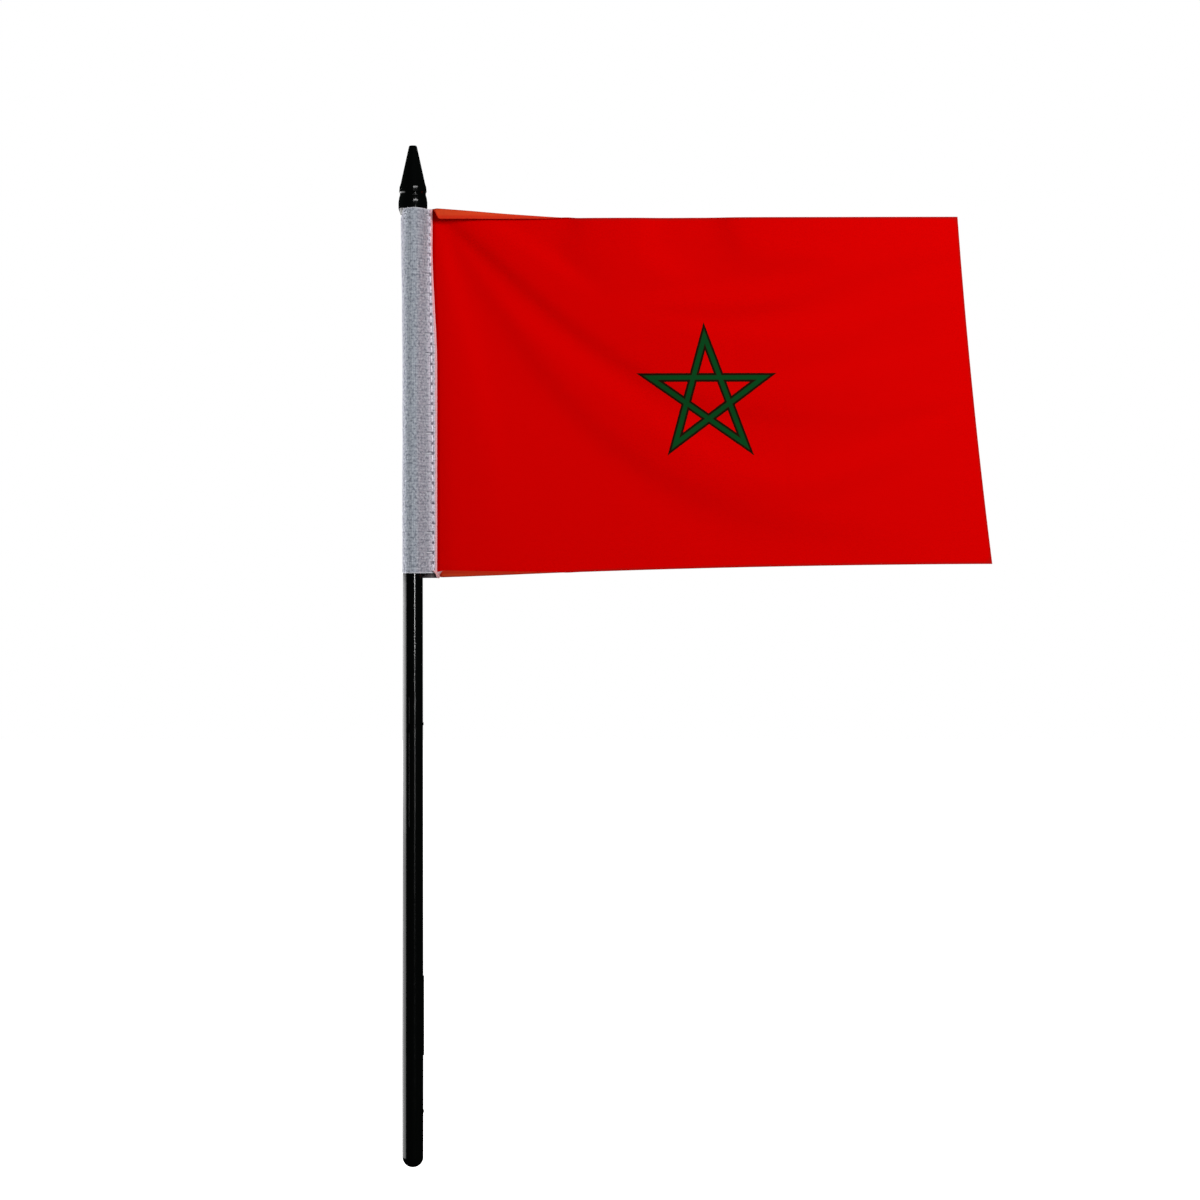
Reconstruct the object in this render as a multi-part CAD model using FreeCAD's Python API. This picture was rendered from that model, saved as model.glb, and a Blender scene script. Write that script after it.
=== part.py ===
import FreeCAD, Part
import math
import os

# A small desk flag: a moulded staff with a push-on pointed cap, a white heading sleeve that turns
# on the staff, and a printed cloth panel sewn into the sleeve's open edge.
# Frame: origin on the staff's axis where its straight foot starts, +Z up the staff, +X towards
# the fly edge of the panel, -Y towards the printed face. Units are millimetres.

Vector = FreeCAD.Vector
Z_AXIS = Vector(0, 0, 1)
ORIGIN = Vector(0, 0, 0)

# Staff
FOOT_RADIUS = 2.85
FOOT_LENGTH = 26.0            # straight length that plugs into a base
SHANK_RADIUS = 2.70
TAPER_TOP = 157.0             # the taper from foot to shank ends here, under the sleeve
STAFF_TOP = 267.2
END_CHAMFER = 0.3

# Small round gate mark moulded on the staff's +X side
GATE_MARK = 119.0             # its height
GATE_RADIUS = 0.35

# Raised bars moulded on the staff
BAR_PROUD = 0.2
BAR_WIDTH = 1.7
BAR_SINK = 0.6                # how deep a bar's block reaches into the staff
SIDE_BARS = {"low": 28.0, "count": 14, "pitch": 1.6, "length": 1.0}
FRONT_BARS = {"low": 90.0, "count": 24, "pitch": 1.6, "length": 0.9}

# Cap
CAP_BOTTOM = 258.8
CAP_TOP = 277.65
SOCKET_CLEARANCE = 0.05
TIP_RADIUS = 1.05
TIP_ROUND = 0.3
CONE_BASE = (3.45, 267.0)     # (radius, height) where the cone turns into its lip
LIP = (3.75, 265.3)
GROOVE_RADIUS = 3.52
GROOVE = (264.3, 264.95)      # the groove's lower and upper height
COLLAR = (3.98, 262.2)        # the widest ring, at its top
COLLAR_LOW = 260.9            # and where it starts to draw in
COLLAR_FOOT = 3.40            # radius at the cap's mouth

# Cloth
CLOTH = 0.20                  # thickness of the printed cloth
TAPE = 0.25                   # thickness of the sleeve's tape
SLEEVE_BOTTOM = 159.8
SLEEVE_TOP = 260.3
SLEEVE_CLEARANCE = 0.10       # between the staff and the sleeve
SLEEVE_EDGE = 6.5             # x of the sleeve's free edges
PINCH = 4.2                   # x where the two layers of tape close on the cloth
MOUTH_RADIUS = 4.15           # inside of the mouth, which opens round the cap's collar
MOUTH_DEPTH = 5.3
MARGIN_EDGE = 6.8             # x where the sewn-in margin of the cloth ends
SEAM_X = 5.2                  # x of the row of stitches
SWING_X = 7.1                 # x of the line on which the panel swings
PANEL_START = 7.4             # x where the swinging panel starts

# Panel outline, as (x, z)
HOIST_TOP = 260.2
FLY_TOP = (149.6, 257.9)
FLY_BOTTOM = (158.9, 163.2)
HOIST_BOTTOM = 159.9
FLARE_END = 42.0              # the hoist's flare has died away here
FLARE_TOP = 257.7
FLARE_BOTTOM = 161.6
FLARE_PULL = 0.55             # share of the flare's length along which it keeps the straight edge's line
WAVE_HEIGHT = 1.6             # of the cloth's rest wave, to each side
WAVE_LENGTH = 118.0
WAVE_RISE = 30.0              # the wave has grown to its height about this far from the hoist
WAVE_POINTS = 13
EDGE_SPARE = 2.0              # how far the cloth runs past the cut outline before it is cut out

# Thread
THREAD_RADIUS = 0.20
STITCH_PITCH = 2.73
STITCH_LENGTH = 1.95
THREAD_GAP = 0.02             # between a stitch and the tape under it
SEAM_INSET = 1.1              # from the sleeve's ends to the seam's ends
TAIL_RADIUS = 0.20
TAIL_LAP = 0.3                # from the last stitch down to the tail's start
TAIL_DROP = 0.3               # below the sleeve's edge, before the tail bends
TAIL_BEND = 0.8               # radius of the bend
TAIL_TURN = math.radians(72)  # from straight down towards the fly
TAIL_END = 1.2                # straight length after the bend


def polygon_face(points):
    return Part.Face(Part.makePolygon([Vector(*p) for p in points + points[:1]]))


def axial_box(x_low, x_high, half_width, z_low, length):
    """A block along +X, centred on y = 0."""
    corner = Vector(x_low, -half_width, z_low)
    return Part.makeBox(x_high - x_low, 2 * half_width, length, corner)


def staff_bar(z_low, length, turn):
    """One raised bar on the staff, turned about the axis from +X."""
    middle = z_low + length / 2
    share = (middle - FOOT_LENGTH) / (TAPER_TOP - FOOT_LENGTH)
    radius = FOOT_RADIUS + (SHANK_RADIUS - FOOT_RADIUS) * share
    bar = axial_box(radius - BAR_SINK, radius + BAR_PROUD, BAR_WIDTH / 2, z_low, length)
    round_face = Part.makeCylinder(radius + BAR_PROUD, length, Vector(0, 0, z_low))
    bar = bar.common(round_face)
    bar.rotate(ORIGIN, Z_AXIS, turn)
    return bar


def staff_bars(row, turn):
    return [staff_bar(row["low"] + i * row["pitch"], row["length"], turn) for i in range(row["count"])]


def make_staff():
    """A solid rod with a round foot, a straight plug-in length, a slight taper and a plain top."""
    foot_arc = Part.Arc(
        Vector(0, 0, -FOOT_RADIUS),
        Vector(FOOT_RADIUS * math.sin(math.pi / 4), 0, -FOOT_RADIUS * math.cos(math.pi / 4)),
        Vector(FOOT_RADIUS, 0, 0),
    ).toShape()
    side = Part.makePolygon(
        [
            Vector(FOOT_RADIUS, 0, 0),
            Vector(FOOT_RADIUS, 0, FOOT_LENGTH),
            Vector(SHANK_RADIUS, 0, TAPER_TOP),
            Vector(SHANK_RADIUS, 0, STAFF_TOP - END_CHAMFER),
            Vector(SHANK_RADIUS - END_CHAMFER, 0, STAFF_TOP),
            Vector(0, 0, STAFF_TOP),
            Vector(0, 0, -FOOT_RADIUS),
        ]
    )
    rod = Part.Face(Part.Wire([foot_arc] + side.Edges)).revolve(ORIGIN, Z_AXIS, 360)
    rod = Part.Solid(rod) if rod.ShapeType != "Solid" else rod
    gate = Part.makeSphere(GATE_RADIUS, Vector(SHANK_RADIUS, 0, GATE_MARK))
    return rod.fuse(staff_bars(SIDE_BARS, 0) + staff_bars(FRONT_BARS, -90) + [gate])


def make_cap():
    """A hollow cone with a lip, a groove and a collar, closed above a blind socket."""
    socket = SHANK_RADIUS + SOCKET_CLEARANCE
    tip_low = CAP_TOP - TIP_ROUND
    outline = [
        (socket, CAP_BOTTOM),
        (COLLAR_FOOT, CAP_BOTTOM),
        (COLLAR[0], COLLAR_LOW),
        COLLAR,
        (GROOVE_RADIUS, GROOVE[0]),
        (GROOVE_RADIUS, GROOVE[1]),
        LIP,
        CONE_BASE,
        (TIP_RADIUS, tip_low),
        (TIP_RADIUS - TIP_ROUND, CAP_TOP),
        (0, CAP_TOP),
        (0, STAFF_TOP),
        (socket, STAFF_TOP),
    ]
    face = polygon_face([(r, 0, z) for r, z in outline])
    return face.revolve(ORIGIN, Z_AXIS, 360)


def teardrop_face(radius, point, tail=None):
    """A circle drawn out to +X: its tangents run to point and its mirror image, and then to x = tail."""
    x, y = point
    reach = math.hypot(x, y)
    angle = math.atan2(y, x) + math.acos(radius / reach)
    touch = Vector(radius * math.cos(angle), radius * math.sin(angle), 0)
    mirror = Vector(touch.x, -touch.y, 0)
    arc = Part.Arc(touch, Vector(-radius, 0, 0), mirror).toShape()
    ends = [Vector(x, y, 0)]
    if tail is not None:
        ends.append(Vector(tail, y, 0))
    lower = [Vector(p.x, -p.y, 0) for p in ends]
    side = Part.makePolygon([mirror] + lower + ends[::-1] + [touch])
    return Part.Face(Part.Wire([arc] + side.Edges))


def prism(face, z_low, z_high):
    face.translate(Vector(0, 0, z_low))
    return face.extrude(Vector(0, 0, z_high - z_low))


def mouth_cone(radius_low, radius_high):
    """The space inside the sleeve's flared mouth, or inside its outer face."""
    return Part.makeCone(radius_low, radius_high, MOUTH_DEPTH, Vector(0, 0, SLEEVE_TOP - MOUTH_DEPTH))


def make_sleeve():
    """White tape folded round the staff. Its two free edges close on the cloth's margin, and its
    top opens round the cap's collar."""
    half_slot = CLOTH / 2
    inner_radius = SHANK_RADIUS + SLEEVE_CLEARANCE
    outer = teardrop_face(inner_radius + TAPE, (PINCH + 2 * TAPE, half_slot + TAPE), SLEEVE_EDGE)
    inner = teardrop_face(inner_radius, (PINCH, half_slot))
    outside = prism(outer, SLEEVE_BOTTOM, SLEEVE_TOP)
    outside = outside.fuse(mouth_cone(inner_radius + TAPE, MOUTH_RADIUS + TAPE))
    height = SLEEVE_TOP - SLEEVE_BOTTOM
    slot = axial_box(PINCH - TAPE, SLEEVE_EDGE, half_slot, SLEEVE_BOTTOM, height)
    inside = prism(inner, SLEEVE_BOTTOM, SLEEVE_TOP)
    return outside.cut([inside, slot, mouth_cone(inner_radius, MOUTH_RADIUS)])


def make_margin():
    """The cloth's hoist margin, which lies between the sleeve's two layers of tape."""
    return axial_box(PINCH, MARGIN_EDGE, CLOTH / 2, HOIST_BOTTOM, HOIST_TOP - HOIST_BOTTOM)


def wave(x):
    """The cloth's rest shape: y at x, starting level at the swing line."""
    along = x - SWING_X
    growth = 1 - math.exp(-((along / WAVE_RISE) ** 2))
    return WAVE_HEIGHT * growth * math.sin(2 * math.pi * along / WAVE_LENGTH)


def wave_curve(side):
    """One face line of the waved cloth, half a thickness to one side of its middle."""
    near, far = PANEL_START - EDGE_SPARE, FLY_BOTTOM[0] + EDGE_SPARE
    step = (far - near) / (WAVE_POINTS - 1)
    small = 0.01
    points = []
    for i in range(WAVE_POINTS):
        x = near + i * step
        slope = (wave(x + small) - wave(x - small)) / (2 * small)
        normal = Vector(-slope, 1, 0).normalize()
        points.append(Vector(x, wave(x), 0) + normal * (side * CLOTH / 2))
    curve = Part.BSplineCurve()
    curve.interpolate(points)
    return curve.toShape()


def waved_sheet():
    """The waved cloth before it is cut out, a little larger than the panel all round."""
    front, back = wave_curve(-1), wave_curve(1)
    ends = [
        Part.makeLine(front.Vertexes[i].Point, back.Vertexes[i].Point)
        for i in (0, -1)
    ]
    face = Part.Face(Part.Wire([front, ends[1], back, ends[0]]))
    return prism(face, HOIST_BOTTOM - EDGE_SPARE, HOIST_TOP + EDGE_SPARE)


def outline_prism():
    """The panel's cut outline, square to the cloth. Its top and bottom edges flare at the hoist."""
    hoist_top = Vector(PANEL_START, 0, HOIST_TOP)
    hoist_bottom = Vector(PANEL_START, 0, HOIST_BOTTOM)
    top_flare = Vector(FLARE_END, 0, FLARE_TOP)
    bottom_flare = Vector(FLARE_END, 0, FLARE_BOTTOM)
    fly_top = Vector(FLY_TOP[0], 0, FLY_TOP[1])
    fly_bottom = Vector(FLY_BOTTOM[0], 0, FLY_BOTTOM[1])

    def flare(start, end, beyond):
        """A curve from the hoist corner that leaves at end along the straight edge."""
        along = (beyond - end).normalize()
        control = end - along * (FLARE_PULL * (end.x - start.x))
        curve = Part.BezierCurve()
        curve.setPoles([start, control, end])
        return curve.toShape()

    edges = [
        flare(hoist_top, top_flare, fly_top),
        Part.makeLine(top_flare, fly_top),
        Part.makeLine(fly_top, fly_bottom),
        Part.makeLine(fly_bottom, bottom_flare),
        flare(hoist_bottom, bottom_flare, fly_bottom),
        Part.makeLine(hoist_bottom, hoist_top),
    ]
    face = Part.Face(Part.Wire(Part.sortEdges(edges)[0]))
    depth = 4 * WAVE_HEIGHT
    face.translate(Vector(0, -depth / 2, 0))
    return face.extrude(Vector(0, depth, 0))


def stitch(side, z_low):
    """One stitch lying on the tape: side -1 is the printed face, +1 the back."""
    y = side * (CLOTH / 2 + TAPE + THREAD_GAP + THREAD_RADIUS)
    straight = STITCH_LENGTH - 2 * THREAD_RADIUS
    low = Vector(SEAM_X, y, z_low + THREAD_RADIUS)
    high = low + Vector(0, 0, straight)
    rod = Part.makeCylinder(THREAD_RADIUS, straight, low)
    return rod.fuse([Part.makeSphere(THREAD_RADIUS, low), Part.makeSphere(THREAD_RADIUS, high)])


def make_seam(side):
    seam_low = SLEEVE_BOTTOM + SEAM_INSET
    length = SLEEVE_TOP - SLEEVE_BOTTOM - 2 * SEAM_INSET
    count = int((length - STITCH_LENGTH) / STITCH_PITCH) + 1
    return Part.makeCompound([stitch(side, seam_low + i * STITCH_PITCH) for i in range(count)])


def tail_direction(angle):
    """The way the tail runs once it has turned by angle, from straight down towards +X."""
    return Vector(math.sin(angle), 0, -math.cos(angle))


def make_tail():
    """The needle thread's cut end. It leaves the last stitch, drops past the sleeve's edge and
    bends out towards the fly."""
    y = -(CLOTH / 2 + TAPE + THREAD_GAP + TAIL_RADIUS)
    start = Vector(SEAM_X, y, SLEEVE_BOTTOM + SEAM_INSET - TAIL_LAP)
    bend_start = Vector(SEAM_X, y, SLEEVE_BOTTOM - TAIL_DROP)
    bend_centre = bend_start + Vector(TAIL_BEND, 0, 0)

    def on_bend(angle):
        return bend_centre + Vector(-math.cos(angle), 0, -math.sin(angle)) * TAIL_BEND

    bend_end = on_bend(TAIL_TURN)
    arc = Part.Arc(bend_start, on_bend(TAIL_TURN / 2), bend_end).toShape()
    end = bend_end + tail_direction(TAIL_TURN) * TAIL_END
    path = Part.Wire([Part.makeLine(start, bend_start), arc, Part.makeLine(bend_end, end)])
    profile = Part.Wire([Part.makeCircle(TAIL_RADIUS, start, Vector(0, 0, -1))])
    return path.makePipeShell([profile], True, False)


def main():
    nodes = {
        "staff": make_staff(),
        "finial_cap": make_cap(),
        "heading_sleeve": make_sleeve(),
        "hoist_margin": make_margin(),
        "flag_panel": waved_sheet().common(outline_prism()),
        "needle_stitches": make_seam(-1),
        "bobbin_stitches": make_seam(1),
        "thread_tail": make_tail(),
    }
    os.makedirs("parts", exist_ok=True)
    for name, shape in nodes.items():
        box = shape.BoundBox
        print(
            f"{name}: {len(shape.Solids)} solid(s), valid {shape.isValid()}, "
            f"volume {shape.Volume:.2f} mm3, x {box.XMin:.2f}..{box.XMax:.2f}, "
            f"y {box.YMin:.2f}..{box.YMax:.2f}, z {box.ZMin:.2f}..{box.ZMax:.2f}"
        )
        shape.exportStep(f"parts/{name}.step")


main()
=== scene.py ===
# %% [markdown]
# # A small staff flag
# The object is a thin printed cloth sewn into a white tape, which is folded round a black moulded
# staff with a pointed cap. The plain CAD model gives every size and place. These cells load it,
# set up a view and soft light, make the finishes, and then make each piece again as it really looks:
# round parts grown ring by ring, cloth from flat sheets, and thread one stitch at a time.

import math

import bmesh
import bpy
import numpy as np
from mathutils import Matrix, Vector, noise


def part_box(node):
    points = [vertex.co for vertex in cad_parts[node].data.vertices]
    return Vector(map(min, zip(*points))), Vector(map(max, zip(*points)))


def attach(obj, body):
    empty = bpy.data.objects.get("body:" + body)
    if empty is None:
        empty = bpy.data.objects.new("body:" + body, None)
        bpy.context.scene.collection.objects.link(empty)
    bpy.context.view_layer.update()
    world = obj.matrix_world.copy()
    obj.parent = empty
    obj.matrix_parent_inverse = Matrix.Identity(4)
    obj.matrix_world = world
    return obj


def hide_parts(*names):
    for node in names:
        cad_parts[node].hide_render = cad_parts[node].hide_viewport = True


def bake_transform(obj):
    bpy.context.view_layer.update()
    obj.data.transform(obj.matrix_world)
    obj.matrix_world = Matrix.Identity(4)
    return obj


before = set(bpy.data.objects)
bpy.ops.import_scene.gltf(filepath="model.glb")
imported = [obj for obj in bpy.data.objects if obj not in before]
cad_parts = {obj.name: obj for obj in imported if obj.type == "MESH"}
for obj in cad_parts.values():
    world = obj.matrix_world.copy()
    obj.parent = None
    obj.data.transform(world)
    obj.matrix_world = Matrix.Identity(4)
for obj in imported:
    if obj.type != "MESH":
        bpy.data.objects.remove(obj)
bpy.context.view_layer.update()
MM = 0.001

# %% Places read from the frame
staff_low, staff_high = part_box("staff")
cap_low, cap_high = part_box("finial_cap")
sleeve_low, sleeve_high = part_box("heading_sleeve")
margin_low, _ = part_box("hoist_margin")
panel_low, panel_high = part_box("flag_panel")
seam_low, seam_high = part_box("needle_stitches")
print("panel in mm: x", round(panel_low.x / MM, 1), "to", round(panel_high.x / MM, 1))

# %% [markdown]
# ## Camera, floor and light
# A long lens far away shows the flag as a straight-on product picture, with hardly any perspective.
# The floor and the air round it are plain white. Gloss is the hard part of a black plastic: it shows
# only what it mirrors. So the room is dark to mirrors, and the plastic gets a few bright things to
# show. A wide panel behind on the left draws its left edge, a narrow strip beside the camera draws
# the thin line down its front, and two lamps high up draw the small lights on the cap. The panel and
# the strip each have a dimmer lower half, so that their lines fade downwards. Two other lamps light
# the cloth and tape and stay out of the mirrors: a broad one to the upper right, and one at the side.

# %% Camera
VIEW_WIDTH = 329.7 * MM
VIEW_CENTRE = Vector((51.4, 0, 153.0)) * MM
VIEW_DISTANCE = 1.3
SENSOR = 36.0                     # millimetres, as lenses are given

bpy.ops.object.select_all(action="DESELECT")
camera_place = VIEW_CENTRE - Vector((0, VIEW_DISTANCE, 0))
bpy.ops.object.camera_add(location=camera_place, rotation=(math.pi / 2, 0, 0))
camera = bpy.context.object
camera.data.sensor_width = SENSOR
camera.data.lens = SENSOR * VIEW_DISTANCE / VIEW_WIDTH
bpy.context.scene.camera = camera
bpy.context.scene.view_settings.view_transform = "Standard"
print("lens in mm:", round(camera.data.lens, 1))

# %% Lamps
def add_lamp(name, place, target, width, height, power, mirrored):
    """A soft rectangular lamp that points at target. A mirrored one shows in gloss and lights nothing
    else. Any other one lights the scene and shows in no gloss."""
    bpy.ops.object.light_add(type="AREA", location=place)
    lamp = bpy.context.object
    lamp.name = name
    lamp.rotation_euler = (Vector(target) - Vector(place)).to_track_quat("-Z", "Y").to_euler()
    lamp.data.shape = "RECTANGLE"
    lamp.data.size, lamp.data.size_y = width, height
    lamp.data.energy = power
    lamp.visible_camera = False
    lamp.visible_glossy = mirrored
    lamp.visible_diffuse = not mirrored


add_lamp("broad_lamp", (0.34, -0.50, 0.41), (0.08, 0, 0.21), 0.25, 0.25, 3.3, False)
add_lamp("side_lamp", (-0.50, 0.22, 0.20), (0, 0, 0.20), 0.25, 0.5, 7.5, False)
add_lamp("edge_panel", (-0.50, 0.42, 0.115), (0, 0.42, 0.115), 0.95, 0.10, 1.10, True)
add_lamp("edge_panel_low", (-0.50, 0.42, -0.025), (0, 0.42, -0.025), 0.95, 0.18, 1.15, True)
add_lamp("front_strip", (0.50, -1.15, 0.203), (0, 0, 0.203), 0.10, 0.118, 1.40, True)
add_lamp("front_strip_low", (0.50, -1.15, 0.08), (0, 0, 0.08), 0.10, 0.12, 0.05, True)
add_lamp("cap_lamp", (0.49, -1.10, 0.68), (0, 0, 0.265), 0.80, 0.09, 2.3, True)
add_lamp("cap_stem_lamp", (0.49, -1.10, 0.77), (0, 0, 0.265), 0.12, 0.10, 0.26, True)

# %% Air and floor
AIR_LIGHT = 0.285                 # soft light from all round
AIR_MIRRORED = 0.006              # how bright the room is to gloss
FLOOR_DROP = 60 * MM              # the floor is this far under the staff's foot

air = bpy.data.worlds.new("plain_air")
bpy.context.scene.world = air
air.use_nodes = True
air_nodes, air_links = air.node_tree.nodes, air.node_tree.links
background = air_nodes["Background"]
ray = air_nodes.new("ShaderNodeLightPath")
gloss_choice = air_nodes.new("ShaderNodeMix")
gloss_choice.inputs["A"].default_value = AIR_LIGHT
gloss_choice.inputs["B"].default_value = AIR_MIRRORED
seen_choice = air_nodes.new("ShaderNodeMix")
seen_choice.inputs["B"].default_value = 1.0
background.inputs["Color"].default_value = (1, 1, 1, 1)
air_links.new(ray.outputs["Is Glossy Ray"], gloss_choice.inputs["Factor"])
air_links.new(gloss_choice.outputs["Result"], seen_choice.inputs["A"])
air_links.new(ray.outputs["Is Camera Ray"], seen_choice.inputs["Factor"])
air_links.new(seen_choice.outputs["Result"], background.inputs["Strength"])

bpy.ops.mesh.primitive_plane_add(size=12, location=(0, 0, staff_low.z - FLOOR_DROP))
floor = bpy.context.object
floor.name = "floor"
floor.visible_glossy = False
floor.visible_diffuse = False
white = bpy.data.materials.new("floor_white")
white.use_nodes = True
white_surface = white.node_tree.nodes["Principled BSDF"].inputs
white_surface["Base Color"].default_value = (0.9, 0.9, 0.9, 1)
white_surface["Roughness"].default_value = 1.0
white_surface["Specular IOR Level"].default_value = 0.0
white_surface["Emission Color"].default_value = (1, 1, 1, 1)
white_surface["Emission Strength"].default_value = 1.0
floor.data.materials.append(white)
print("floor at", round((staff_low.z - FLOOR_DROP) / MM, 1), "mm")

# %% [markdown]
# ## Writing a finish
# A finish is a net of small nodes. Wiring each by hand hides what it works out, so two small classes
# let the maths be written as sums: a Wire is any node's output, and +, -, * and / on it add the
# Math nodes. Every other node comes from Finish.node, with its settings first and its sockets after.

# %% Wires and finishes
class Wire:
    """One output of a node. Sums written with it become Math nodes."""

    def __init__(self, finish, socket):
        self.finish = finish
        self.socket = socket

    def math(self, operation, *values):
        return self.finish.node("ShaderNodeMath", {"operation": operation}, dict(enumerate(values)))

    def __add__(self, other):
        return self.math("ADD", self, other)

    def __radd__(self, other):
        return self.math("ADD", other, self)

    def __sub__(self, other):
        return self.math("SUBTRACT", self, other)

    def __rsub__(self, other):
        return self.math("SUBTRACT", other, self)

    def __mul__(self, other):
        return self.math("MULTIPLY", self, other)

    def __rmul__(self, other):
        return self.math("MULTIPLY", other, self)

    def __truediv__(self, other):
        return self.math("DIVIDE", self, other)

    def __abs__(self):
        return self.math("ABSOLUTE", self)

    def sin(self):
        return self.math("SINE", self)

    def lower(self, other):
        return self.math("MINIMUM", self, other)

    def upper(self, other):
        return self.math("MAXIMUM", self, other)

    def above(self, other):
        return self.math("GREATER_THAN", self, other)


class Finish:
    """One material, put together from nodes."""

    def __init__(self, name):
        self.material = bpy.data.materials.new(name)
        self.material.use_nodes = True
        self.tree = self.material.node_tree
        self.tree.nodes.clear()

    def node(self, kind, settings=None, sockets=None, output=0):
        """Adds a node: its settings first, then a number, colour or wire for each named socket."""
        made = self.tree.nodes.new(kind)
        for name, value in (settings or {}).items():
            setattr(made, name, value)
        for key, value in (sockets or {}).items():
            if isinstance(value, Wire):
                self.tree.links.new(value.socket, made.inputs[key])
            else:
                made.inputs[key].default_value = value
        return Wire(self, made.outputs[output] if made.outputs else None)

    def step(self, value, start, end):
        """0 before start and 1 after end, with a smooth rise between them."""
        settings = {"interpolation_type": "SMOOTHSTEP"}
        sockets = {"Value": value, "From Min": start, "From Max": end}
        return self.node("ShaderNodeMapRange", settings, sockets)

    def mix(self, share, first, second):
        """From the first colour at 0 to the second at 1."""
        sockets = {0: share, 6: first, 7: second}
        return self.node("ShaderNodeMix", {"data_type": "RGBA"}, sockets, output=2)

    def parts(self, vector):
        """The X, Y and Z of a vector, each as a wire."""
        return [self.node("ShaderNodeSeparateXYZ", {}, {"Vector": vector}, output=i) for i in range(3)]

    def flat_place(self, width, length):
        """Where a point lies on the flat sheet, in millimetres: across and along."""
        place = self.node("ShaderNodeUVMap", {"uv_map": "flat"})
        across, along, _ = self.parts(place)
        return across * width, along * length

    def joined(self, x, y, z=0.0):
        return self.node("ShaderNodeCombineXYZ", {}, {"X": x, "Y": y, "Z": z})

    def grain(self, place, scale, detail=2.0):
        """Soft noise, from 0 to 1 about 0.5."""
        sockets = {"Vector": place, "Scale": scale, "Detail": detail}
        return self.node("ShaderNodeTexNoise", {}, sockets)

    def object_place(self):
        """Where a point is on the piece, in metres."""
        return self.node("ShaderNodeTexCoord", {}, output=3)

    def stored(self, name):
        """A number that was stored for each point of the mesh."""
        return self.node("ShaderNodeAttribute", {"attribute_name": name}, output=2)

    def stretched(self, place, scale):
        """A place with each axis scaled, for grain that is longer one way."""
        return self.node("ShaderNodeMapping", {}, {"Vector": place, "Scale": scale})

    def surface(self, base, roughness, height=None, depth=0.0, **constants):
        """The Principled shader and the output. Height is a bump, and depth its full size in metres."""
        sockets = {"Base Color": base, "Roughness": roughness}
        sockets.update({name.replace("_", " "): value for name, value in constants.items()})
        if height is not None:
            bump = {"Strength": 1.0, "Distance": depth, "Height": height}
            sockets["Normal"] = self.node("ShaderNodeBump", {}, bump)
        shader = self.node("ShaderNodeBsdfPrincipled", {}, sockets)
        self.node("ShaderNodeOutputMaterial", {}, {"Surface": shader})
        print("finish", self.material.name, "has", len(self.tree.nodes), "nodes")
        return self.material


# %% [markdown]
# ## Gloss plastic
# The staff and cap are moulded in black plastic that is almost a mirror. What shows that it is
# plastic and not paint is small: hair-fine rubs along its length, and a faint swell left by the
# flowing melt. So the colour stays near black, and only the roughness and a very low bump change.

# %% Black gloss plastic
def make_black_plastic():
    finish = Finish("black_gloss_plastic")
    place = finish.object_place()
    drawn_out = finish.stretched(place, (1.0, 1.0, 0.05))
    rubs = finish.step(finish.grain(drawn_out, 9000.0, 3.0), 0.52, 0.75)
    patches = finish.grain(place, 160.0, 2.0)
    swell = finish.grain(place, 260.0, 1.0)
    dust = finish.step(finish.grain(place, 3500.0, 1.0), 0.74, 0.80)
    base = finish.mix(dust * 0.5, (0.0013, 0.0017, 0.0015, 1), (0.012, 0.013, 0.013, 1))
    roughness = 0.09 + 0.06 * patches + 0.08 * rubs + 0.10 * dust
    height = swell + rubs * -0.02
    return finish.surface(base, roughness, height, 0.00002)


black_plastic = make_black_plastic()

# %% [markdown]
# ## Woven cloth
# A plain weave is a chessboard of yarns: on a black square the upright yarn lies on top, on a white
# one the level yarn. Each yarn is round, so its height is a half wave across it. Two sines give both,
# one half wave to a yarn: the sign of their product says which yarn is on top.

# %% A plain weave
def plain_weave(finish, across, along, pitch_across, pitch_along):
    """The height of a plain weave, from 0 between yarns to 1 on top of one, and 1 where the warp is up."""
    wave_across = (across * (math.pi / pitch_across)).sin()
    wave_along = (along * (math.pi / pitch_along)).sin()
    warp_up = (wave_across * wave_along).above(0.0)
    warp, weft = abs(wave_across), abs(wave_along)
    warp_height = warp * (0.6 + 0.4 * weft)
    weft_height = weft * (0.6 + 0.4 * warp)
    return warp_up * warp_height + (1 - warp_up) * weft_height, warp_up


# %% [markdown]
# ## The print
# The cloth is dyed red and carries a star outline: five bands that join every second point. The ink
# isn't a picture. Each band is the strip just inside one long edge, so the distance to that edge
# says where it is. A point is inside the whole star when at most one of the five edges leaves it out,
# and the second smallest of the five distances tells that. The print stays sharp at any size.

# %% The star's ink
ROLL_ROOM = 4.0                   # the flat map runs on this far, for the cloth that is rolled over
SHEET_LEFT = margin_low.x / MM
SHEET_RIGHT = panel_high.x / MM + 0.35
SHEET_BOTTOM = panel_low.z / MM - ROLL_ROOM
SHEET_TOP = panel_high.z / MM + ROLL_ROOM
SHEET_WIDTH = SHEET_RIGHT - SHEET_LEFT
SHEET_HEIGHT = SHEET_TOP - SHEET_BOTTOM
STAR_CENTRE = (81.05, 209.15)
STAR_RADIUS = 20.25
STAR_BAND = 2.42
STAR_RIM = 0.60                   # width of the dark rim that the ink bleeds to
STAR_LEAN = 0.056                 # the cloth is drawn towards the fly at its foot


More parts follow.
